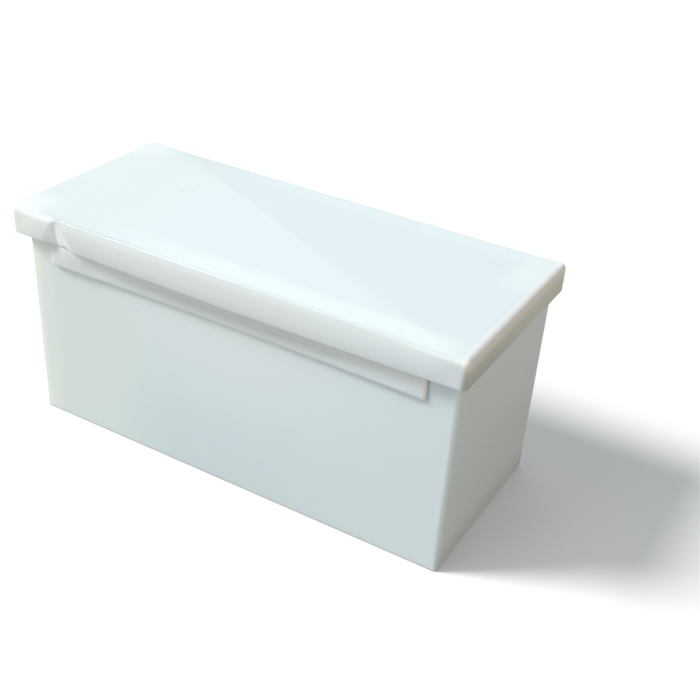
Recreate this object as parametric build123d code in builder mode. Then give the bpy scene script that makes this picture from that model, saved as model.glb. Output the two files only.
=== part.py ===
"""Covered soap loaf mould: a rigid box, a silicone liner that hangs in it, and a cap lid.

The origin is at the centre of the box's flat underside. X runs along the loaf, Y across it
and Z up. The thumb notch in the lid is on the -Y side, near its -X end. Millimetres.
"""

import os

from build123d import *

# Whole mould
overall_height = 127.5

# Lid: a flat plate with a skirt all round
lid_length = 268.0
lid_width = 118.5
lid_plate = 2.5
skirt_height = 15.4
skirt_wall = 1.8
lid_corner = 2.6
lid_edge_round = 1.8
skirt_hem_round = 0.5

# Thumb notch: a tapered scoop in the skirt, pointed at the top and widest at the hem
notch_x = -102.8
notch_tip_drop = 1.0
notch_axis_out = 21.0
notch_hem_radius = 22.2

# Outer box: outline at its rim, narrowing towards the floor by the draft on every side
box_length = 257.0
box_width = 109.4
box_wall = 3.4
box_floor = 3.5
box_draft = 0.7
box_corner = 2.2
box_inner_corner = 2.0
box_foot_round = 0.8
box_rim_round = 0.6
box_floor_round = 1.5

# Silicone liner: a tub, a lip folded over the rim, and a pull flap down each long side
liner_gap = 0.35
liner_wall = 3.0
liner_floor = 4.0
liner_corner = 3.5
liner_foot_round = 3.0
cavity_corner = 5.0
cavity_floor_round = 3.0
cavity_mouth_round = 1.0
lip_thickness = 2.5
fold_gap = 0.25
fold_wall = 2.0
fold_drop = 7.5
fold_corner = 3.5
fold_top_round = 1.2
flap_length = 225.0
flap_end_z = 98.0
flap_corner = 2.5

# Levels
box_height = overall_height - lid_plate - lip_thickness
lip_top = box_height + lip_thickness
skirt_end_z = overall_height - skirt_height
cavity_floor_z = box_floor + liner_floor
fold_end_z = box_height - fold_drop
flap_height = box_height - flap_end_z

# Outlines
fold_length = box_length + 2 * (fold_gap + fold_wall)
fold_width = box_width + 2 * (fold_gap + fold_wall)
slot_length = box_length + 2 * fold_gap
slot_width = box_width + 2 * fold_gap
liner_length = box_length - 2 * (box_wall + liner_gap)
liner_width = box_width - 2 * (box_wall + liner_gap)
cavity_length = liner_length - 2 * liner_wall
cavity_width = liner_width - 2 * liner_wall

os.makedirs("parts", exist_ok=True)

# The rigid outer box: drafted walls on a flat floor, open at the top
with BuildPart() as outer_box:
    with BuildSketch(Plane.XY):
        RectangleRounded(box_length - 2 * box_draft, box_width - 2 * box_draft, box_corner)
    with BuildSketch(Plane.XY.offset(box_height)):
        RectangleRounded(box_length, box_width, box_corner)
    loft()
    underside = outer_box.faces().sort_by(Axis.Z)[0]
    fillet(underside.edges(), radius=box_foot_round)

    with BuildSketch(Plane.XY.offset(box_floor)):
        RectangleRounded(
            box_length - 2 * (box_wall + box_draft),
            box_width - 2 * (box_wall + box_draft),
            box_inner_corner,
        )
    with BuildSketch(Plane.XY.offset(box_height)):
        RectangleRounded(box_length - 2 * box_wall, box_width - 2 * box_wall, box_inner_corner)
    loft(mode=Mode.SUBTRACT)
    floor_edges = outer_box.edges().filter_by_position(Axis.Z, box_floor, box_floor)
    fillet(floor_edges, radius=box_floor_round)
    rim = outer_box.faces().sort_by(Axis.Z)[-1]
    fillet(rim.edges(), radius=box_rim_round)
outer_box.part.label = "outer_box"
export_step(outer_box.part, "parts/outer_box.step")

# The silicone liner: its lip folds over the rim, and runs on as a flap down each long side
with BuildPart() as silicone_liner:
    with BuildSketch(Plane.XY.offset(fold_end_z)):
        RectangleRounded(fold_length, fold_width, fold_corner)
    extrude(amount=lip_top - fold_end_z)
    lip = silicone_liner.faces().sort_by(Axis.Z)[-1]
    fillet(lip.edges(), radius=fold_top_round)

    # Both flaps as one slab, as deep as the fold is wide, rounded at its lower corners
    with BuildSketch(Plane.XZ.offset(-fold_width / 2)):
        with Locations((0, flap_end_z + flap_height / 2)):
            flap_outline = Rectangle(flap_length, flap_height)
        fillet(flap_outline.vertices().group_by(Axis.Z)[0], radius=flap_corner)
    extrude(amount=fold_width)

    # The slot that the box's walls stand in, under the lip
    with BuildSketch(Plane.XY.offset(flap_end_z)):
        RectangleRounded(slot_length, slot_width, box_corner)
    extrude(amount=flap_height, mode=Mode.SUBTRACT)

    # The tub that hangs inside the box
    with BuildSketch(Plane.XY.offset(box_floor)):
        RectangleRounded(liner_length - 2 * box_draft, liner_width - 2 * box_draft, liner_corner)
    with BuildSketch(Plane.XY.offset(box_height)):
        RectangleRounded(liner_length, liner_width, liner_corner)
    loft()
    liner_foot = silicone_liner.faces().sort_by(Axis.Z)[0]
    fillet(liner_foot.edges(), radius=liner_foot_round)

    # The cavity that the soap is poured into
    with BuildSketch(Plane.XY.offset(cavity_floor_z)):
        RectangleRounded(cavity_length - 2 * box_draft, cavity_width - 2 * box_draft, cavity_corner)
    with BuildSketch(Plane.XY.offset(lip_top)):
        RectangleRounded(cavity_length, cavity_width, cavity_corner)
    loft(mode=Mode.SUBTRACT)
    cavity_edges = silicone_liner.edges().filter_by_position(Axis.Z, cavity_floor_z, cavity_floor_z)
    fillet(cavity_edges, radius=cavity_floor_round)
    mouth = silicone_liner.faces().sort_by(Axis.Z)[-1].inner_wires()[0]
    fillet(mouth.edges(), radius=cavity_mouth_round)
silicone_liner.part.label = "silicone_liner"
export_step(silicone_liner.part, "parts/silicone_liner.step")

# The cap lid: it rests on the liner's lip, and its skirt hangs outside the fold
with BuildPart() as lid:
    with BuildSketch(Plane.XY.offset(skirt_end_z)):
        RectangleRounded(lid_length, lid_width, lid_corner)
    extrude(amount=skirt_height)
    lid_top = lid.faces().sort_by(Axis.Z)[-1]
    fillet(lid_top.edges(), radius=lid_edge_round)

    with BuildSketch(Plane.XY.offset(skirt_end_z)):
        RectangleRounded(
            lid_length - 2 * skirt_wall,
            lid_width - 2 * skirt_wall,
            lid_corner - skirt_wall,
        )
    extrude(amount=lip_top - skirt_end_z, mode=Mode.SUBTRACT)
    hem = lid.faces().sort_by(Axis.Z)[0]
    fillet(hem.edges(), radius=skirt_hem_round)

    # The thumb notch: a cone whose side leans into the skirt towards the hem
    notch_height = skirt_height - notch_tip_drop
    notch_y = -lid_width / 2 - notch_axis_out
    with Locations((notch_x, notch_y, skirt_end_z + notch_height / 2)):
        Cone(notch_hem_radius, notch_axis_out, notch_height, mode=Mode.SUBTRACT)
lid.part.label = "lid"
export_step(lid.part, "parts/lid.step")
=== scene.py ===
"""A covered soap loaf mould in milky white plastic and silicone, on a pale studio floor.

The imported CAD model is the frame. Each CAD node is replaced by a closed shell of the same
size, lofted through rounded outlines, with the bows, folds and dents of the real moulding.
"""

import math

import bmesh
import bpy
from mathutils import Matrix, Vector


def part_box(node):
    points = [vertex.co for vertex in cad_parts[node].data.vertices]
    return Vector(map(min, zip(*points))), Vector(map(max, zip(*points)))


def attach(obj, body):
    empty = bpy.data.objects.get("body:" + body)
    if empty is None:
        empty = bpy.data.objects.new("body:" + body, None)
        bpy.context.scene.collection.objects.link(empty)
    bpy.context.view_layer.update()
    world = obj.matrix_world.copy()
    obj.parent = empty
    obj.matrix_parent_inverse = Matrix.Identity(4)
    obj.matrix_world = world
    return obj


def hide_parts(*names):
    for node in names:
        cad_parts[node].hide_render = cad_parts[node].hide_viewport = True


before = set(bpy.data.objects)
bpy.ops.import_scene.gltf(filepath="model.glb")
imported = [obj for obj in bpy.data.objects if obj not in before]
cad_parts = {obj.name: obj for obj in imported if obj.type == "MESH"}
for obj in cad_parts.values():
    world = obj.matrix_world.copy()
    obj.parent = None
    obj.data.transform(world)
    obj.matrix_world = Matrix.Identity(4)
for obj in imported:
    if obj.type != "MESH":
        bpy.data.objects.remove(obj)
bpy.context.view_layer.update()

MM = 0.001
BOX_LOW, BOX_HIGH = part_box("outer_box")
LINER_LOW, LINER_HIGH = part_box("silicone_liner")
LID_LOW, LID_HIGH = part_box("lid")


# ---------------------------------------------------------------- lofted shells

def stations(count, crowd=()):
    """Fractions from -1 to 1 along a side. crowd holds (place, reach, count) of closer ones."""
    marks = [-1 + 2 * i / count for i in range(count + 1)]
    for place, reach, extra in crowd:
        marks = [m for m in marks if abs(m - place) > reach or abs(m) == 1]
        marks += [place - reach + 2 * reach * i / extra for i in range(extra + 1)]
    return sorted(marks)


class Outline:
    """A family of rounded rectangles with matching points, so that any two can be bridged."""

    def __init__(self, along, across, arc):
        self.along = along
        self.across = across
        self.arc = arc

    def points(self, half_x, half_y, corner):
        """(x, y) anticlockwise, from the -Y end of the +X side."""
        flat_x, flat_y = half_x - corner, half_y - corner
        sides = (
            [(half_x, t * flat_y) for t in self.across],
            [(t * flat_x, half_y) for t in reversed(self.along)],
            [(-half_x, t * flat_y) for t in reversed(self.across)],
            [(t * flat_x, -half_y) for t in self.along],
        )
        centres = ((1, 1), (-1, 1), (-1, -1), (1, -1))
        found = []
        for quarter, (side, centre) in enumerate(zip(sides, centres)):
            found += side
            for step in range(1, self.arc):
                angle = (quarter + step / self.arc) * math.pi / 2
                x = centre[0] * flat_x + corner * math.cos(angle)
                y = centre[1] * flat_y + corner * math.sin(angle)
                found.append((x, y))
        return found

    def cap(self, mesh, ring):
        """Fills a ring of vertices with a grid of four-sided faces."""
        columns = self.arc + len(self.along) - 1
        rows = self.arc + len(self.across) - 1
        count = len(ring)
        back_right = len(self.across) - 1 + self.arc // 2
        back_left = back_right + columns
        front_left = back_left + rows
        front_right = front_left + columns

        def edge(i, j):
            if j == 0:
                return ring[(front_left + i) % count]
            if j == rows:
                return ring[(back_left - i) % count]
            if i == 0:
                return ring[(front_left - j) % count]
            return ring[(front_right + j) % count]

        low, high = edge(0, 0).co, edge(columns, rows).co
        grid = {}
        for i in range(columns + 1):
            for j in range(rows + 1):
                if i in (0, columns) or j in (0, rows):
                    grid[i, j] = edge(i, j)
                    continue
                front, back = edge(i, 0).co, edge(i, rows).co
                left, right = edge(0, j).co, edge(columns, j).co
                u = (front.x - low.x) / (high.x - low.x)
                v = (left.y - low.y) / (high.y - low.y)
                blend = front.lerp(back, v) + left.lerp(right, u)
                near = edge(0, 0).co.lerp(edge(columns, 0).co, u)
                far = edge(0, rows).co.lerp(edge(columns, rows).co, u)
                grid[i, j] = mesh.verts.new(blend - near.lerp(far, v))
        for i in range(columns):
            for j in range(rows):
                corners = (grid[i, j], grid[i + 1, j], grid[i + 1, j + 1], grid[i, j + 1])
                mesh.faces.new(corners)


def shell(name, outline, rings, warp):
    """A closed skin through rings of (half_x, half_y, corner, z, is_inner), in millimetres.

    warp(point, is_inner) gives each point its final place.
    """
    mesh = bmesh.new()
    loops = []
    for half_x, half_y, corner, z, is_inner in rings:
        loop = []
        for x, y in outline.points(half_x, half_y, corner):
            loop.append(mesh.verts.new(Vector((x, y, z))))
        loops.append((loop, is_inner))
    for (ring, _), (after, _) in zip(loops, loops[1:]):
        for i in range(len(ring)):
            k = (i + 1) % len(ring)
            mesh.faces.new((ring[i], ring[k], after[k], after[i]))
    inner = {v for loop, is_inner in loops if is_inner for v in loop}
    known = set(mesh.verts)
    outline.cap(mesh, loops[0][0])
    outline.cap(mesh, loops[-1][0])
    last_inner = loops[-1][1]
    last_z = rings[-1][3]
    for v in mesh.verts:
        if v not in known and last_inner and abs(v.co.z - last_z) < 1e-6:
            inner.add(v)
    for v in mesh.verts:
        v.co = warp(v.co.copy(), v in inner) * MM
    bmesh.ops.recalc_face_normals(mesh, faces=mesh.faces)
    data = bpy.data.meshes.new(name)
    mesh.to_mesh(data)
    mesh.free()
    for face in data.polygons:
        face.use_smooth = True
    piece = bpy.data.objects.new(name, data)
    bpy.context.scene.collection.objects.link(piece)
    rounding = piece.modifiers.new("rounding", "SUBSURF")
    rounding.levels = 1
    rounding.render_levels = 1
    return piece


def smooth(value, low, high):
    """0 below low, 1 above high, and a smooth rise between."""
    t = min(1.0, max(0.0, (value - low) / (high - low)))
    return t * t * (3 - 2 * t)


# ---------------------------------------------------------------- shared shape

# The long walls bow inwards, most at mid-length and from BOW_HEIGHT of the way up. What lies
# nearer the middle plane than BOW_DEPTH of the half width moves less.
WALL_BOW = 2.3
BOW_HEIGHT = 0.9
BOW_DEPTH = 0.8
BOX_HALF_X = BOX_HIGH.x / MM
BOX_HALF_Y = BOX_HIGH.y / MM
BOX_TOP = BOX_HIGH.z / MM


def wall_bow(x, z):
    """How far the long walls are drawn in at that place."""
    along = math.cos(math.pi / 2 * min(1.0, abs(x) / BOX_HALF_X))
    return WALL_BOW * along * smooth(z, 0, BOW_HEIGHT * BOX_TOP)


def drawn_in(point, amount):
    """The point moved towards the middle plane, by less near it."""
    share = min(1.0, abs(point.y) / (BOW_DEPTH * BOX_HALF_Y))
    point.y -= math.copysign(amount * share, point.y)
    return point


# ---------------------------------------------------------------- outer box

BOX_WALL = 3.4
BOX_FLOOR = 3.5
BOX_DRAFT = 0.7
BOX_CORNER = 2.2
BOX_INNER_CORNER = 2.0
BOX_FOOT_ROUND = 0.8
BOX_RIM_ROUND = 1.2


def box_rings():
    """From the cavity's floor, up the inside, over the rim and down to the underside."""
    rings = []

    def level(z, inset, corner, is_inner):
        narrowing = BOX_DRAFT * (1 - z / BOX_TOP)
        half_x = BOX_HALF_X - narrowing - inset
        half_y = BOX_HALF_Y - narrowing - inset
        rings.append((half_x, half_y, corner, z, is_inner))

    for inset in (16, 9, 6.4, 5.4):
        level(BOX_FLOOR, inset, BOX_INNER_CORNER, True)
    level(BOX_FLOOR + 0.4, BOX_WALL + 0.5, BOX_INNER_CORNER, True)
    level(BOX_FLOOR + 1.5, BOX_WALL, BOX_INNER_CORNER, True)
    for share in (0.06, 0.2, 0.35, 0.5, 0.65, 0.8, 0.92, 0.97):
        level(BOX_TOP * share + BOX_FLOOR * (1 - share), BOX_WALL, BOX_INNER_CORNER, True)
    level(BOX_TOP - BOX_RIM_ROUND, BOX_WALL, BOX_INNER_CORNER, True)
    level(BOX_TOP - 0.3 * BOX_RIM_ROUND, BOX_WALL - 0.3 * BOX_RIM_ROUND, BOX_INNER_CORNER, True)
    level(BOX_TOP, BOX_WALL - BOX_RIM_ROUND, BOX_INNER_CORNER, False)
    level(BOX_TOP, BOX_RIM_ROUND, BOX_CORNER, False)
    level(BOX_TOP - 0.3 * BOX_RIM_ROUND, 0.3 * BOX_RIM_ROUND, BOX_CORNER, False)
    level(BOX_TOP - BOX_RIM_ROUND, 0, BOX_CORNER, False)
    for share in (0.97, 0.92, 0.85, 0.75, 0.65, 0.55, 0.45, 0.35, 0.25, 0.15, 0.08, 0.03):
        level(BOX_TOP * share, 0, BOX_CORNER, False)
    level(BOX_FOOT_ROUND * 1.3, 0, BOX_CORNER, False)
    level(BOX_FOOT_ROUND * 0.35, 0.12 * BOX_FOOT_ROUND, BOX_CORNER, False)
    level(0, 0.6 * BOX_FOOT_ROUND, BOX_CORNER, False)
    for inset in (1.6, 3, 6, 16):
        level(0, inset, BOX_CORNER, False)
    return rings


def box_warp(point, is_inner):
    """Both faces of the long walls bow alike, so is_inner makes no difference."""
    return drawn_in(point, wall_bow(point.x, point.z))


# ---------------------------------------------------------------- silicone liner

LINER_WALL = 3.0
LINER_FLOOR = 4.0
LINER_GAP = 0.35
LINER_CORNER = 3.5
CAVITY_CORNER = 5.0
CAVITY_ROUND = 3.0
FOLD_WALL = 2.0
FOLD_GAP = 0.25
FOLD_DROP = 7.5
FOLD_CORNER = 3.5
FLAP_END = 112.5
FLAP_CORNER = 1.2
FLAP_RAMP = 0.3
FLAP_BOTTOM = 98.0
LIP_TOP = LINER_HIGH.z / MM

# Where the fold's rings lie, as shares of its drop: close together where the flap passes the
# lid's hem and the ledge under the notch.
FOLD_HANGS = (
    0.12, 0.24, 0.32, 0.36, 0.38, 0.395, 0.41, 0.425, 0.44, 0.455, 0.475, 0.5, 0.55, 0.65, 0.78, 0.9,
)

# Under the notch the flap swells out up to a ledge, and above the ledge it is dented.
RELIEF_X = (-110.0, -101.0, -92.0, -76.0)
RELIEF_SWELL = 2.0
SWELL_AT_EDGE = 0.2
RELIEF_DENT = 1.3
DENT_X = -104.0
DENT_REACH = 15.0
DENT_FLAT = 0.6
LEDGE_LOW = 111.2
LEDGE_HIGH = 111.95

# The flaps' ends are rounded, and the right ends cling to the box's wall. Both fade out over
# FOLD_FADE below the edge of the fold beyond the flaps.
END_ROUND = 1.5
CLING_GAP = 0.08
CLING_REACH = 14.0
FOLD_FADE = 3.0


def flap_drop(x, y):
    """How far the fold's lower edge hangs below the rim at that place of its outline."""
    if abs(y) < BOX_HALF_Y - 2:
        return FOLD_DROP
    full = BOX_TOP - FLAP_BOTTOM
    past_end = (abs(x) - FLAP_END) / FLAP_RAMP
    if past_end > 0:
        return FOLD_DROP + (full - FLAP_CORNER - FOLD_DROP) * max(0.0, 1 - past_end)
    into_corner = abs(x) - (FLAP_END - FLAP_CORNER)
    if into_corner <= 0:
        return full
    return full - FLAP_CORNER + math.sqrt(max(0.0, FLAP_CORNER ** 2 - into_corner ** 2))


def liner_rings():
    """From the cavity's floor up to the lip, down the fold, and round the tub to its foot."""
    rings = []
    tub_half_x = BOX_HALF_X - BOX_WALL - LINER_GAP
    tub_half_y = BOX_HALF_Y - BOX_WALL - LINER_GAP

    def level(z, inset, corner, is_inner):
        narrowing = BOX_DRAFT * (1 - min(z, BOX_TOP) / BOX_TOP)
        half_x = tub_half_x - narrowing - inset
        half_y = tub_half_y - narrowing - inset
        rings.append((half_x, half_y, corner, z, is_inner))

    floor_z = BOX_FLOOR + LINER_FLOOR
    for inset in (20, 10, 8):
        level(floor_z, LINER_WALL + inset, CAVITY_CORNER, False)
    for step in range(5):
        angle = math.radians(90 * step / 4)
        inset = LINER_WALL + CAVITY_ROUND * (1 - math.sin(angle))
        level(floor_z + CAVITY_ROUND * (1 - math.cos(angle)), inset, CAVITY_CORNER, False)
    for share in (0.1, 0.25, 0.4, 0.55, 0.7, 0.85, 0.95):
        level(floor_z + (LIP_TOP - floor_z) * share, LINER_WALL, CAVITY_CORNER, False)
    level(LIP_TOP - 1.2, LINER_WALL, CAVITY_CORNER, False)
    level(LIP_TOP - 0.35, LINER_WALL - 0.35, CAVITY_CORNER, False)
    level(LIP_TOP, LINER_WALL - 1.2, CAVITY_CORNER, False)
    level(LIP_TOP, 0, CAVITY_CORNER, False)

    fold_x = BOX_HALF_X + FOLD_GAP + FOLD_WALL
    fold_y = BOX_HALF_Y + FOLD_GAP + FOLD_WALL
    outside = FOLD_WALL + FOLD_GAP

    def fold(z, inset, is_inner):
        rings.append((fold_x - inset, fold_y - inset, FOLD_CORNER - inset, z, is_inner))

    fold(LIP_TOP, 3.0, False)
    fold(LIP_TOP, 1.6, False)
    fold(LIP_TOP - 0.25, 0.7, False)
    fold(LIP_TOP - 0.8, 0.2, False)
    fold(LIP_TOP - 1.6, 0, False)
    for hang in FOLD_HANGS:
        fold(-hang, 0, False)
    for hang, inset in ((0.96, 0.04), (0.985, 0.3), (1.0, 0.7), (1.0, FOLD_WALL - 0.35)):
        fold(-hang, inset, False)
    for hang in reversed(FOLD_HANGS):
        fold(-hang, FOLD_WALL, True)
    fold(BOX_TOP, FOLD_WALL, True)
    fold(BOX_TOP, outside + 1.0, True)
    level(BOX_TOP, -BOX_WALL * 0.35, LINER_CORNER, True)
    level(BOX_TOP, -0.05, LINER_CORNER, True)
    for share in (0.97, 0.9, 0.75, 0.6, 0.45, 0.3, 0.15, 0.08):
        level(BOX_TOP * share, 0, LINER_CORNER, True)
    level(BOX_FLOOR + 2.4, 0, LINER_CORNER, True)
    level(BOX_FLOOR + 0.8, 0.7, LINER_CORNER, True)
    level(BOX_FLOOR, 2.6, LINER_CORNER, True)
    for inset in (6, 12, 22):
        level(BOX_FLOOR, inset, LINER_CORNER, True)
    return rings


def thumb_relief(x, z):
    """How far the front flap swells out below the ledge, and is pressed in above it."""
    start, full, fading, end = RELIEF_X
    lift = notch_lift(x - LID_SHIFT.x, HEM)
    over = smooth(z, LEDGE_LOW + lift, LEDGE_HIGH + lift)
    swell = smooth(x, start, full) * (1 - smooth(x, fading, end)) * (1 - over)
    swell *= SWELL_AT_EDGE + (1 - SWELL_AT_EDGE) * smooth(z, FLAP_BOTTOM, LEDGE_LOW - 2)
    beside = abs(x - DENT_X) / DENT_REACH
    dent = (1 - smooth(beside, DENT_FLAT, 1)) * smooth(z, LEDGE_LOW, LEDGE_HIGH + 1)
    return RELIEF_SWELL * swell, RELIEF_DENT * dent


def liner_warp(point, is_inner):
    """Rings with a negative z hang from the rim by that share of the fold's drop."""
    if point.z < 0:
        point.z = BOX_TOP + point.z * flap_drop(point.x, point.y)
    outside_box = abs(point.y) > BOX_HALF_Y
    if point.y < -BOX_HALF_Y:
        swell, dent = thumb_relief(point.x, point.z)
        point.y -= swell
        if not is_inner:
            point.y += dent
    if outside_box:
        gap = FOLD_GAP - CLING_GAP + BOX_DRAFT * (1 - point.z / BOX_TOP)
        nearer = gap * smooth(point.x, FLAP_END - CLING_REACH, FLAP_END)
        if not is_inner:
            past_round = max(0.0, abs(point.x) - (FLAP_END - END_ROUND))
            nearer += END_ROUND - math.sqrt(max(0.0, END_ROUND ** 2 - past_round ** 2))
        fold_edge = BOX_TOP - FOLD_DROP
        nearer *= 1 - smooth(point.z, fold_edge - FOLD_FADE, fold_edge)
        point.y -= math.copysign(nearer, point.y)
    bow = wall_bow(point.x, point.z if outside_box else BOX_TOP)
    return drawn_in(point, bow)


# ---------------------------------------------------------------- lid

LID_HALF_X = LID_HIGH.x / MM
LID_HALF_Y = LID_HIGH.y / MM
LID_TOP = LID_HIGH.z / MM
HEM = LID_LOW.z / MM
SKIRT_WALL = 1.8
LID_CORNER = 2.8
LID_ROUND = 1.0
LID_SHIFT = Vector((-1.2, -0.4, 0))

# The top edge's rounding: EDGE_SOFT where it is softest along the sides, END_SOFT on the right
# end. The pairs are the places along X between which the softness comes or goes.
EDGE_SOFT = 3.2
END_SOFT = 3.6
SOFT_BACK = (120, 131)
SOFT_FRONT = (-110, -103)
SOFT_RIGHT = (85, 125)
RIGHT_SHARE = 0.6
CORNER_TURN = 9.0
EDGE_REACH = 9.0
EDGE_HOLD = 3.0
DROP_REACH = 11.0

# The skirt's long faces are crowned, and at mid-length their hem stands out and dips a little.
# The top sags. LONG_FACE is how squarely a place faces along Y where it counts as a long face.
SIDE_CROWN = 0.8
SIDE_FADE = (116, 131)
LONG_FACE = 0.9
FACE_BAND = 6.0
HEM_BOW = 1.0
HEM_DIP = 0.8
TOP_SAG = 0.12

# A shallow moulded line runs along the front edge of the top, fainter to the right.
BEAD_INSET = 4.0
BEAD_WIDTH = 0.7
BEAD_DEPTH = 0.03
BEAD_X = (-112, -98, -60, -30)
BEAD_FAINTER = 0.7
BEAD_STOP = (98, 112)

# The thumb notch, and how far its right flank draws up the hem.
NOTCH_X = -103.6
NOTCH_LEFT = 9.0
NOTCH_RIGHT = 13.0
NOTCH_TIP = 126.2
NOTCH_DEPTH = 2.1
NOTCH_INSIDE = 0.85
NOTCH_CROWD = 9.84
NOTCH_OPENING = 0.45
NOTCH_DEEPENING = 0.5
NOTCH_CREASE = 1.3
NOTCH_LIFT = 1.1
LIFT_ASIDE = 6.2
LIFT_REACH = 5.5
LIFT_HEIGHT = 8.0


def inwards(x, y):
    """How far a place lies inside the lid's outline, and the direction straight out of it."""
    past_x = max(0.0, abs(x) - LID_HALF_X + LID_CORNER)
    past_y = max(0.0, abs(y) - LID_HALF_Y + LID_CORNER)
    inset = min(LID_HALF_X - abs(x), LID_HALF_Y - abs(y))
    if past_x > 0 and past_y > 0:
        inset = max(0.0, LID_CORNER - math.hypot(past_x, past_y))
    out_x = max(0.0, abs(x) - LID_HALF_X + CORNER_TURN)
    out_y = max(0.0, abs(y) - LID_HALF_Y + CORNER_TURN)
    out = math.hypot(out_x, out_y)
    if out < 1e-6:
        return inset, 0.0, 0.0
    return inset, math.copysign(out_x / out, x), math.copysign(out_y / out, y)


def edge_scale(x, y, out_x, out_y):
    """How many times LID_ROUND the top edge is rounded at that place.

    It is softer along the back, left of the notch, towards the front right, and on the right end.
    """
    soft = 1 - smooth(abs(x), *SOFT_BACK) if y > 0 else 1 - smooth(x, *SOFT_FRONT)
    if y < 0 and x > 0:
        soft = RIGHT_SHARE * smooth(x, *SOFT_RIGHT)
    end = out_x * out_x if x > 0 else 0.0
    side = soft * out_y * out_y
    return 1 + (END_SOFT / LID_ROUND - 1) * end + (EDGE_SOFT / LID_ROUND - 1) * side


def softened(value, scale, reach):
    """What lies within the edge's rounding grows by scale, and what follows closes up by reach."""
    if value <= LID_ROUND:
        return value * scale
    if value >= reach:
        return value
    grown = LID_ROUND * scale
    return grown + (value - LID_ROUND) * (reach - grown) / (reach - LID_ROUND)


def lid_rings():
    """From the top panel, over the edge, down the skirt, round the hem and up the inside."""
    rings = []

    def level(z, inset, corner, is_inner):
        rings.append((LID_HALF_X - inset, LID_HALF_Y - inset, corner, z, is_inner))

    for inset in (22, 17, 13, 9, 6.5, 5.2, 4.6, 4.1, 3.7, 3.3, 2.9, 2.5, 2.1, 1.7, 1.4):
        level(LID_TOP, inset, max(0.6, LID_CORNER - 0.4 * inset), False)
    for angle in (90, 78, 62, 45, 28, 12, 0):
        out = LID_ROUND * (1 - math.cos(math.radians(angle)))
        drop = LID_ROUND * (1 - math.sin(math.radians(angle)))
        level(LID_TOP - drop, out, LID_CORNER - 0.6 * out, False)
    skirt_span = LID_TOP - LID_ROUND - HEM
    for share in (0.08, 0.17, 0.26, 0.35, 0.44, 0.53, 0.62, 0.71, 0.8, 0.87, 0.93):
        level(LID_TOP - LID_ROUND - skirt_span * share, 0, LID_CORNER, False)
    level(HEM + 0.45, 0, LID_CORNER, False)
    level(HEM + 0.1, 0.2, LID_CORNER, False)
    level(HEM, 0.6, LID_CORNER - 0.3, False)
    level(HEM, SKIRT_WALL - 0.5, LID_CORNER - 0.8, True)
    level(HEM + 0.12, SKIRT_WALL - 0.12, LID_CORNER - 1.2, True)
    level(HEM + 0.6, SKIRT_WALL, LID_CORNER - SKIRT_WALL, True)
    for share in (0.15, 0.35, 0.55, 0.75, 0.9, 0.97):
        level(HEM + (LIP_TOP - HEM) * share, SKIRT_WALL, LID_CORNER - SKIRT_WALL, True)
    level(LIP_TOP, SKIRT_WALL + 0.15, LID_CORNER - SKIRT_WALL, True)
    for inset in (2.6, 4, 8, 14, 22):
        level(LIP_TOP, inset, 0.8, True)
    return rings


def notch_depth(x, z):
    """The thumb notch: a hollow that starts at a point and opens towards the hem."""
    fall = min(1.0, (NOTCH_TIP - z) / (NOTCH_TIP - HEM))
    if fall <= 0:
        return 0.0
    left = (NOTCH_X - x) / (NOTCH_LEFT * fall ** NOTCH_OPENING)
    right = (x - NOTCH_X) / (NOTCH_RIGHT * fall ** NOTCH_OPENING)
    if left >= 1 or right >= 1:
        return 0.0
    flank = (1 - max(left, right)) ** NOTCH_CREASE
    return NOTCH_DEPTH * fall ** NOTCH_DEEPENING * flank


def notch_lift(x, z):
    """How far the hem is drawn up on the notch's right flank."""
    across = abs(x - (NOTCH_X + LIFT_ASIDE)) / LIFT_REACH
    return NOTCH_LIFT * (1 - smooth(across, 0.2, 1)) * (1 - smooth(z, HEM, HEM + LIFT_HEIGHT))


def bead_depth(x, y):
    """The moulded line along the front of the top panel."""
    if y >= 0:
        return 0.0
    start, full, fading, end = BEAD_X
    strength = smooth(x, start, full) * (1 - BEAD_FAINTER * smooth(x, fading, end))
    strength *= 1 - smooth(x, *BEAD_STOP)
    off = (LID_HALF_Y - abs(y) - BEAD_INSET) / BEAD_WIDTH
    return BEAD_DEPTH * strength * math.exp(-off ** 2)


def lid_warp(point, is_inner):
    """Softens the edges, crowns and bows the long faces, presses in the notch, moves the lid."""
    x, y, z = point
    side = 1 - smooth(abs(x), *SIDE_FADE)
    skirt = smooth(LID_TOP - z, 1, LID_TOP - HEM)
    middle = math.cos(math.pi / 2 * min(1.0, abs(x) / LID_HALF_X))
    inset, out_x, out_y = inwards(x, y)
    drop = LID_TOP - z
    if not is_inner and inset < EDGE_REACH:
        scale = edge_scale(x, y, out_x, out_y)
        held = 1 - smooth(inset, EDGE_HOLD, EDGE_REACH)
        drop = softened(drop, 1 + (scale - 1) * held, DROP_REACH)
        share = min(1.0, max(0.0, (drop - LID_ROUND) / (LID_TOP - LID_ROUND - HEM)))
        crown = 4 * SIDE_CROWN * side * share * (1 - share)
        moved = softened(inset, scale, EDGE_REACH) - inset
        point.x -= moved * out_x
        point.y -= moved * out_y
        if abs(out_y) > LONG_FACE:
            point.y += math.copysign(crown, y)
        point.z = LID_TOP - drop
    if y < -(LID_HALF_Y - FACE_BAND):
        point.y += notch_depth(x, point.z) * (NOTCH_INSIDE if is_inner else 1.0)
        point.z += notch_lift(x, point.z)
    if abs(y) > LID_HALF_Y - FACE_BAND:
        point.y += math.copysign(HEM_BOW * skirt * middle, y)
        point.z -= HEM_DIP * skirt * middle
    if z > LID_TOP - 0.01:
        point.z -= TOP_SAG * middle * math.cos(math.pi / 2 * y / LID_HALF_Y)
        point.z -= bead_depth(x, y)
    return point + LID_SHIFT


# ---------------------------------------------------------------- materials

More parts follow.
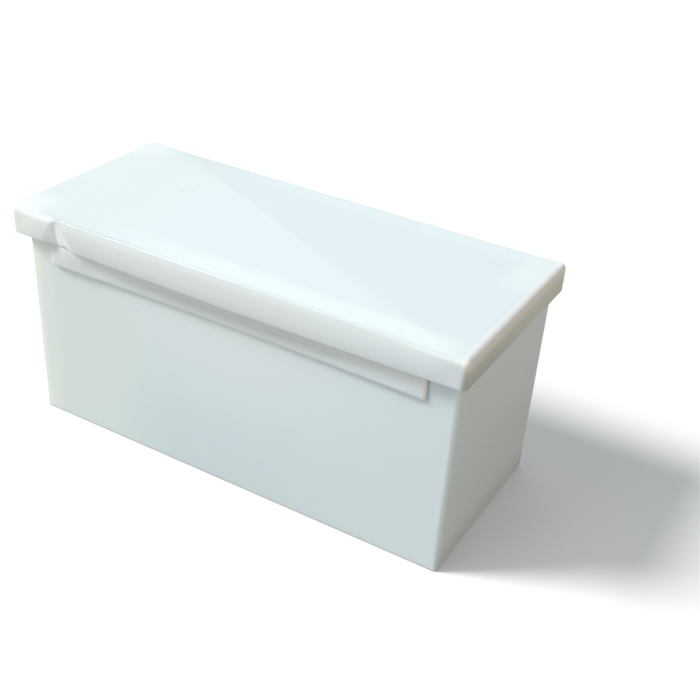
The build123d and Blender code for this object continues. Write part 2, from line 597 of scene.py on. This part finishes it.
def node(tree, kind, **values):
    """A new node with its inputs set by name, with _ for a space."""
    made = tree.nodes.new(kind)
    for key, value in values.items():
        name = key.replace("_", " ")
        if name in made.inputs:
            made.inputs[name].default_value = value
        else:
            setattr(made, key, value)
    return made


def math_node(tree, operation, *values):
    """A Math node on numbers or sockets; gives its output."""
    made = tree.nodes.new("ShaderNodeMath")
    made.operation = operation
    for socket, value in zip(made.inputs, values):
        if isinstance(value, (int, float)):
            socket.default_value = value
        else:
            tree.links.new(value, socket)
    return made.outputs[0]


def blend_colours(tree, factor, first, second):
    """A Mix node from one colour to another; each is an RGB tuple or a socket."""
    made = node(tree, "ShaderNodeMix", data_type="RGBA")
    tree.links.new(factor, made.inputs["Factor"])
    sockets = [socket for socket in made.inputs if socket.type == "RGBA"]
    for socket, value in zip(sockets, (first, second)):
        if isinstance(value, tuple):
            socket.default_value = (*value, 1)
        else:
            tree.links.new(value, socket)
    return [socket for socket in made.outputs if socket.type == "RGBA"][0]


def noise(tree, place, scale, detail, roughness=0.5):
    """Noise in the object's own metres; gives its Fac output."""
    made = node(tree, "ShaderNodeTexNoise", Scale=scale, Detail=detail, Roughness=roughness)
    tree.links.new(place.outputs["Object"], made.inputs["Vector"])
    return made.outputs["Fac"]


def above(tree, value, low, high):
    """0 at low and 1 at high, smooth between them and flat beyond; low may be the larger."""
    step = node(tree, "ShaderNodeMapRange", From_Min=low, From_Max=high, interpolation_type="SMOOTHSTEP")
    tree.links.new(value, step.inputs["Value"])
    return step.outputs["Result"]


def product(tree, first, *others):
    """The product of a socket and any more sockets or numbers."""
    found = first
    for other in others:
        found = math_node(tree, "MULTIPLY", found, other)
    return found


def own_place(tree, place):
    """The X, Y and Z of a point in the object's own metres."""
    split = node(tree, "ShaderNodeSeparateXYZ")
    tree.links.new(place.outputs["Object"], split.inputs[0])
    return split.outputs


def milky(name, tint, shade, roughness, scatter):
    """Milky moulded white: light scatters under the skin, with faint clouds and a fine grain."""
    material = bpy.data.materials.new(name)
    material.use_nodes = True
    tree = material.node_tree
    shader = tree.nodes["Principled BSDF"]
    shader.inputs["IOR"].default_value = 1.45
    shader.inputs["Subsurface Weight"].default_value = 0.8
    shader.inputs["Subsurface Radius"].default_value = (1.0, 1.0, 0.95)
    shader.inputs["Subsurface Scale"].default_value = scatter
    place = node(tree, "ShaderNodeTexCoord")
    colour = blend_colours(tree, noise(tree, place, 14.0, 3.0), tint, shade)
    tree.links.new(colour, shader.inputs["Base Color"])
    gloss = node(tree, "ShaderNodeMapRange", To_Min=roughness - 0.04, To_Max=roughness + 0.06)
    tree.links.new(noise(tree, place, 60.0, 4.0, 0.6), gloss.inputs["Value"])
    tree.links.new(gloss.outputs["Result"], shader.inputs["Roughness"])
    bump = node(tree, "ShaderNodeBump", Strength=0.15, Distance=0.00005)
    tree.links.new(noise(tree, place, 900.0, 2.0), bump.inputs["Height"])
    tree.links.new(bump.outputs["Normal"], shader.inputs["Normal"])
    return material, place, colour


# Places in the materials are in the object's own metres.
LID_POLISH = 0.4
LID_EDGE_DULL = 0.3
SCUFF_START = Vector((-0.0778, 0.0086))
SCUFF_END = Vector((-0.0703, 0.0154))
SCUFF_WIDTH = 0.0009
SCUFF_CURVE = 20.0
SCUFF_CORE = 0.4
SCUFF_STRENGTH = 0.8
NOTCH_SLANT = 0.57


def scuff(tree, x, y):
    """A short faint rub mark on the top panel: above 0 on it, and 0 away from it."""
    along = (SCUFF_END - SCUFF_START).normalized()
    middle = (SCUFF_START + SCUFF_END) / 2
    half = (SCUFF_END - SCUFF_START).length / 2
    x = math_node(tree, "SUBTRACT", x, middle.x)
    y = math_node(tree, "SUBTRACT", y, middle.y)
    run = math_node(tree, "MULTIPLY_ADD", x, along.x, math_node(tree, "MULTIPLY", y, along.y))
    off = math_node(tree, "MULTIPLY_ADD", y, along.x, math_node(tree, "MULTIPLY", x, -along.y))
    bend = product(tree, run, run, SCUFF_CURVE)
    from_line = math_node(tree, "ABSOLUTE", math_node(tree, "ADD", off, bend))
    near = above(tree, from_line, SCUFF_WIDTH, 0)
    within = above(tree, math_node(tree, "ABSOLUTE", run), half, SCUFF_CORE * half)
    return product(tree, near, within, SCUFF_STRENGTH)


def past_side(tree, y):
    """How far a point lies past the lid's long sides: 0 on them, and negative between them."""
    return math_node(tree, "SUBTRACT", math_node(tree, "ABSOLUTE", y), LID_HALF_Y * MM)


def lid_panel(tree, place, x, y, edge, body):
    """The top panel's colour."""
    # A little greyer towards the left
    panel = blend_colours(tree, above(tree, x, -0.02, -0.1), body, (0.74, 0.818, 0.843))

    # Painted light along both long sides, where the rim and the lip lie close under the panel
    ragged = math_node(tree, "MULTIPLY_ADD", noise(tree, place, 45.0, 2.0), 0.008, past_side(tree, y))
    side = above(tree, ragged, -0.016, -0.006)
    painted_side_light = product(tree, side, above(tree, x, -0.09, -0.01), above(tree, x, 0.14, 0.11))
    rim = blend_colours(tree, above(tree, y, -0.02, 0.02), (0.82, 0.91, 0.94), (0.785, 0.88, 0.92))
    panel = blend_colours(tree, painted_side_light, panel, rim)

    # Painted light over the rim at the right end, towards the back
    beside = product(tree, above(tree, x, 0.106, 0.118), above(tree, y, 0.0, 0.03))
    panel = blend_colours(tree, beside, panel, (0.80, 0.90, 0.93))

    # Painted shade where the long edges are rounded, most along their left half
    deeper_edge_shade = product(tree, above(tree, x, -0.03, -0.08), above(tree, x, -0.112, -0.102))
    painted_edge_shade = blend_colours(tree, deeper_edge_shade, (0.715, 0.79, 0.81), (0.63, 0.70, 0.72))
    panel = blend_colours(tree, edge, panel, painted_edge_shade)

    # Painted light at the left corners, the front one most, and on the right end's rounded edge
    at_end = above(tree, x, -0.110, -0.128)
    at_side = above(tree, math_node(tree, "ABSOLUTE", y), 0.03, 0.052)
    corner = product(tree, at_end, at_side, above(tree, y, 0.1, 0.0))
    panel = blend_colours(tree, corner, panel, (0.86, 0.93, 0.94))
    panel = blend_colours(tree, above(tree, x, 0.1275, 0.1315), panel, (0.95, 0.97, 0.94))
    return blend_colours(tree, scuff(tree, x, y), panel, (0.62, 0.70, 0.72))


def lid_skirt(tree, x, y, z):
    """The skirt's colour."""
    # Grey at the middle, bluer at the right, and painted light at the left and under the top edge
    skirt = blend_colours(tree, above(tree, x, 0.0, 0.1), (0.73, 0.765, 0.762), (0.742, 0.80, 0.825))
    skirt = blend_colours(tree, above(tree, x, -0.105, -0.128), skirt, (0.79, 0.84, 0.80))
    painted_top_light = above(tree, z, (LID_TOP - 6) * MM, (LID_TOP - 0.8) * MM)
    skirt = blend_colours(tree, painted_top_light, skirt, (0.79, 0.84, 0.85))

    # Painted light and shade in the notch: a little darker near its top, lighter towards the hem, and a
    # painted highlight low on its right flank
    slanted = math_node(tree, "MULTIPLY_ADD", z, NOTCH_SLANT, x)
    across = product(tree, above(tree, x, -0.113, -0.107), above(tree, slanted, -0.0270, -0.0305))
    notch = product(tree, across, above(tree, y, -0.050, -0.054))
    hollow = blend_colours(tree, above(tree, z, 0.125, 0.115), (0.76, 0.81, 0.79), (0.83, 0.88, 0.86))
    painted_lens_highlight = product(tree, above(tree, x, -0.1055, -0.1015), above(tree, z, 0.119, 0.1145))
    hollow = blend_colours(tree, painted_lens_highlight, hollow, (0.90, 0.98, 0.945))
    skirt = blend_colours(tree, notch, skirt, hollow)

    # Painted shade on the right end, which faces away from the light: warm and dark, with painted light
    # upwards and towards the back
    end = blend_colours(tree, above(tree, z, 0.112, 0.121), (0.55, 0.56, 0.50), (0.64, 0.66, 0.60))
    end = blend_colours(tree, above(tree, y, -0.05, 0.03), end, (0.75, 0.76, 0.69))
    end = blend_colours(tree, above(tree, z, 0.1195, 0.1262), end, (0.97, 0.96, 0.87))
    return blend_colours(tree, above(tree, x, 0.128, 0.132), skirt, end)


def lid_plastic():
    """Satin, with a polished top that is rougher along its long edges; its colour carries painted light
    and shade.
    """
    material, place, body = milky("lid_plastic", (0.76, 0.85, 0.885), (0.75, 0.84, 0.88), 0.5, 0.0007)
    tree = material.node_tree
    shader = tree.nodes["Principled BSDF"]
    shader.inputs["Specular IOR Level"].default_value = 0.3
    shader.inputs["Coat Roughness"].default_value = 0.025
    x, y, z = own_place(tree, place)
    edge = above(tree, past_side(tree, y), -0.0022, -0.0008)
    panel = lid_panel(tree, place, x, y, edge, body)
    skirt = lid_skirt(tree, x, y, z)
    top = above(tree, z, (LID_TOP - 1.4) * MM, (LID_TOP - 0.2) * MM)
    tree.links.new(blend_colours(tree, top, skirt, panel), shader.inputs["Base Color"])
    polished = above(tree, z, (LID_TOP - 0.6) * MM, (LID_TOP - 0.2) * MM)
    tree.links.new(product(tree, polished, LID_POLISH), shader.inputs["Coat Weight"])
    gloss = shader.inputs["Roughness"].links[0].from_socket
    dulled = math_node(tree, "MULTIPLY_ADD", edge, LID_EDGE_DULL, gloss)
    tree.links.new(dulled, shader.inputs["Roughness"])
    return material


def box_plastic():
    """Satin, with painted shade towards the foot and greener painted light at the left end."""
    material, place, body = milky("box_plastic", (0.845, 0.945, 0.985), (0.83, 0.93, 0.97), 0.38, 0.005)
    tree = material.node_tree
    x, _, z = own_place(tree, place)

    # The long walls: painted shade towards the foot, bluer at the right, greener towards the left,
    # painted light at the left corners and painted shade on the rounded corner itself
    wall = blend_colours(tree, above(tree, z, 0.01, 0.12), (0.69, 0.79, 0.83), body)
    wall = blend_colours(tree, above(tree, x, 0.0, 0.12), wall, (0.73, 0.83, 0.87))
    wall = blend_colours(tree, above(tree, x, -0.03, -0.09), wall, (0.765, 0.875, 0.85))
    wall = blend_colours(tree, above(tree, x, -0.106, -0.126), wall, (0.87, 0.975, 0.88))
    wall = blend_colours(tree, above(tree, x, -0.1235, -0.127), wall, (0.77, 0.86, 0.79))

    # Painted shadow along the right end wall's foot, and painted light on it from a third of the way up
    end = blend_colours(tree, above(tree, z, 0.0, 0.02), (0.67, 0.71, 0.72), (0.775, 0.85, 0.86))
    end = blend_colours(tree, above(tree, z, 0.04, 0.08), end, (0.79, 0.90, 0.905))
    whole = blend_colours(tree, above(tree, x, 0.1262, 0.1275), wall, end)
    tree.links.new(whole, tree.nodes["Principled BSDF"].inputs["Base Color"])
    return material


BELT_HEIGHT = 0.1018


def liner_silicone():
    """Duller than the plastic; its flap carries painted shade low down and painted light towards its
    ends.
    """
    material, place, body = milky("liner_silicone", (0.86, 0.965, 0.985), (0.84, 0.95, 0.97), 0.48, 0.004)
    tree = material.node_tree
    x, y, z = own_place(tree, place)

    # Painted shade: a darker belt along the flap's lower part, greyer at mid-length
    from_belt = math_node(tree, "ABSOLUTE", math_node(tree, "SUBTRACT", z, BELT_HEIGHT))
    from_middle = math_node(tree, "ABSOLUTE", x)
    painted_belt_shade = above(tree, from_middle, 0.09, 0.02)
    painted_belt_shade = blend_colours(tree, painted_belt_shade, (0.775, 0.88, 0.905), (0.75, 0.81, 0.80))
    flap = blend_colours(tree, above(tree, from_belt, 0.0055, 0.0015), body, painted_belt_shade)

    # Painted light at the left, painted shade again at the very end, and painted light on the right end's
    # edge
    flap = blend_colours(tree, above(tree, x, -0.068, -0.085), flap, (0.87, 0.99, 0.97))
    flap = blend_colours(tree, above(tree, x, -0.100, -0.106), flap, (0.79, 0.87, 0.85))
    flap = blend_colours(tree, above(tree, x, 0.1113, 0.1123), flap, (0.97, 0.98, 0.95))

    high = above(tree, z, 0.0935, 0.0965)
    outside = above(tree, math_node(tree, "ABSOLUTE", y), 0.0512, 0.0525)
    whole = blend_colours(tree, product(tree, high, outside), body, flap)
    tree.links.new(whole, tree.nodes["Principled BSDF"].inputs["Base Color"])
    return material


def floor_material():
    """Pale paper over a lamp: the object sees an even glow, and the camera sees lit paper."""
    material = bpy.data.materials.new("floor_paper")
    material.use_nodes = True
    tree = material.node_tree
    tree.nodes.clear()
    seen = node(tree, "ShaderNodeBsdfDiffuse", Color=(1.0, 1.0, 1.0, 1))
    glow = node(tree, "ShaderNodeEmission", Color=(0.21, 0.21, 0.20, 1), Strength=1.0)
    bounce = node(tree, "ShaderNodeBsdfDiffuse", Color=(0.2, 0.2, 0.2, 1))
    lamp = node(tree, "ShaderNodeAddShader")
    tree.links.new(glow.outputs[0], lamp.inputs[0])
    tree.links.new(bounce.outputs[0], lamp.inputs[1])
    path = node(tree, "ShaderNodeLightPath")
    mix = node(tree, "ShaderNodeMixShader")
    out = node(tree, "ShaderNodeOutputMaterial")
    tree.links.new(path.outputs["Is Camera Ray"], mix.inputs[0])
    tree.links.new(lamp.outputs[0], mix.inputs[1])
    tree.links.new(seen.outputs[0], mix.inputs[2])
    tree.links.new(mix.outputs[0], out.inputs["Surface"])
    return material


# ---------------------------------------------------------------- pieces

def make_box():
    outline = Outline(stations(48), stations(20), 6)
    piece = shell("box_shell", outline, box_rings(), box_warp)
    piece.data.materials.append(box_plastic())
    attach(piece, "box")
    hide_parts("outer_box")


def make_liner():
    """Its outline has more points where the flaps' ends are rounded and where they stop."""
    flat = BOX_HALF_X + FOLD_GAP + FOLD_WALL - FOLD_CORNER
    crowd = []
    for side in (-1, 1):
        crowd.append((side * (FLAP_END - END_ROUND / 2) / flat, (END_ROUND / 2 - 0.05) / flat, 7))
        crowd.append((side * (FLAP_END + FLAP_RAMP / 2) / flat, (FLAP_RAMP / 2 + 0.01) / flat, 9))
    outline = Outline(stations(60, crowd), stations(20), 6)
    piece = shell("liner_skin", outline, liner_rings(), liner_warp)
    piece.data.materials.append(liner_silicone())
    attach(piece, "liner")
    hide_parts("silicone_liner")


def make_lid():
    """Its outline has more points across the notch."""
    flat = LID_HALF_X - LID_CORNER
    crowd = [(NOTCH_X / flat, NOTCH_CROWD / flat, 28)]
    outline = Outline(stations(60, crowd), stations(26), 6)
    piece = shell("lid_cap", outline, lid_rings(), lid_warp)
    piece.data.materials.append(lid_plastic())
    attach(piece, "lid")
    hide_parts("lid")


# ---------------------------------------------------------------- stage

CAMERA_PLACE = Vector((0.28154, -0.44507, 0.38066))


def make_floor():
    data = bpy.data.meshes.new("floor")
    half = 4.0
    corners = [(-half, -half, 0), (half, -half, 0), (half, half, 0), (-half, half, 0)]
    data.from_pydata(corners, [], [(0, 1, 2, 3)])
    floor = bpy.data.objects.new("floor", data)
    bpy.context.scene.collection.objects.link(floor)
    data.materials.append(floor_material())


def make_world():
    """A soft surround, brightest at the horizon, dimmer and warmer to the right."""
    world = bpy.data.worlds.new("studio")
    bpy.context.scene.world = world
    world.use_nodes = True
    tree = world.node_tree
    tree.nodes.clear()
    place = node(tree, "ShaderNodeTexCoord")
    split = node(tree, "ShaderNodeSeparateXYZ")
    tree.links.new(place.outputs["Generated"], split.inputs[0])
    right = above(tree, split.outputs["X"], 0.2, 0.9)
    horizon = blend_colours(tree, right, (0.56, 0.57, 0.56), (0.78, 0.62, 0.43))
    zenith = above(tree, split.outputs["Z"], 0.0, 0.8)
    surround = blend_colours(tree, zenith, horizon, (0.34, 0.37, 0.39))
    ambient = node(tree, "ShaderNodeBackground", Strength=1.0)
    tree.links.new(surround, ambient.inputs["Color"])
    backdrop = node(tree, "ShaderNodeBackground", Strength=1.0, Color=(1, 1, 1, 1))
    path = node(tree, "ShaderNodeLightPath")
    mix = node(tree, "ShaderNodeMixShader")
    out = node(tree, "ShaderNodeOutputWorld")
    tree.links.new(path.outputs["Is Camera Ray"], mix.inputs[0])
    tree.links.new(ambient.outputs[0], mix.inputs[1])
    tree.links.new(backdrop.outputs[0], mix.inputs[2])
    tree.links.new(mix.outputs[0], out.inputs["Surface"])


def make_key():
    """The main light: large and soft, high on the front left."""
    light = bpy.data.lights.new("key", "SUN")
    light.energy = 2.5
    light.angle = math.radians(16)
    light.color = (1.0, 1.0, 0.98)
    key = bpy.data.objects.new("key", light)
    bpy.context.scene.collection.objects.link(key)
    towards = Vector((-0.604, -0.342, 0.720))
    key.rotation_mode = "QUATERNION"
    key.rotation_quaternion = towards.to_track_quat("Z", "Y")


def make_fill():
    """A wide softbox low on the front left."""
    light = bpy.data.lights.new("fill", "AREA")
    light.size = 0.8
    light.energy = 2.6
    fill = bpy.data.objects.new("fill", light)
    bpy.context.scene.collection.objects.link(fill)
    fill.location = (-0.55, -0.95, 0.55)
    aim = Vector(fill.location) - Vector((0, 0, BOX_TOP * MM / 2))
    fill.rotation_mode = "QUATERNION"
    fill.rotation_quaternion = aim.to_track_quat("Z", "Y")
    fill.visible_camera = False


def make_card():
    """A dim card high behind the left end; the lid mirrors its slanting lower edge."""
    mirrored_eye = CAMERA_PLACE.copy()
    mirrored_eye.z = 2 * LID_TOP * MM - CAMERA_PLACE.z
    distance = 2.0
    edge_left = mirrored_eye + distance * Vector((-0.641, 0.700, 0.326)).normalized()
    edge_right = mirrored_eye + distance * Vector((-0.190, 0.803, 0.563)).normalized()
    width = (edge_right - edge_left).length
    height = 0.4
    across = (edge_right - edge_left).normalized()
    up = (mirrored_eye - edge_left).cross(across).normalized()
    towards = across.cross(up)
    light = bpy.data.lights.new("card", "AREA")
    light.shape = "RECTANGLE"
    light.size = width
    light.size_y = height
    light.energy = 1.15
    card = bpy.data.objects.new("card", light)
    bpy.context.scene.collection.objects.link(card)
    centre = (edge_left + edge_right) / 2 + up * height / 2
    turned = Matrix((-across, up, -towards)).transposed().to_4x4()
    card.matrix_world = Matrix.Translation(centre) @ turned
    card.visible_camera = False


def make_camera():
    azimuth = math.radians(28.30)
    elevation = math.radians(31.415)
    roll = math.radians(4.04)
    back = Vector((
        math.sin(azimuth) * math.cos(elevation),
        -math.cos(azimuth) * math.cos(elevation),
        math.sin(elevation),
    ))
    right = Vector((math.cos(azimuth), math.sin(azimuth), 0))
    up = back.cross(right)
    rolled_right = right * math.cos(roll) + up * math.sin(roll)
    rolled_up = up * math.cos(roll) - right * math.sin(roll)
    data = bpy.data.cameras.new("camera")
    data.lens = 57.52
    data.sensor_width = 36
    data.clip_start = 0.01
    camera = bpy.data.objects.new("camera", data)
    bpy.context.scene.collection.objects.link(camera)
    turned = Matrix((rolled_right, rolled_up, back)).transposed().to_4x4()
    camera.matrix_world = Matrix.Translation(CAMERA_PLACE) @ turned
    bpy.context.scene.camera = camera


make_camera()
make_box()
make_liner()
make_lid()
make_floor()
make_world()
make_key()
make_fill()
make_card()
bpy.context.scene.view_settings.view_transform = "Standard"
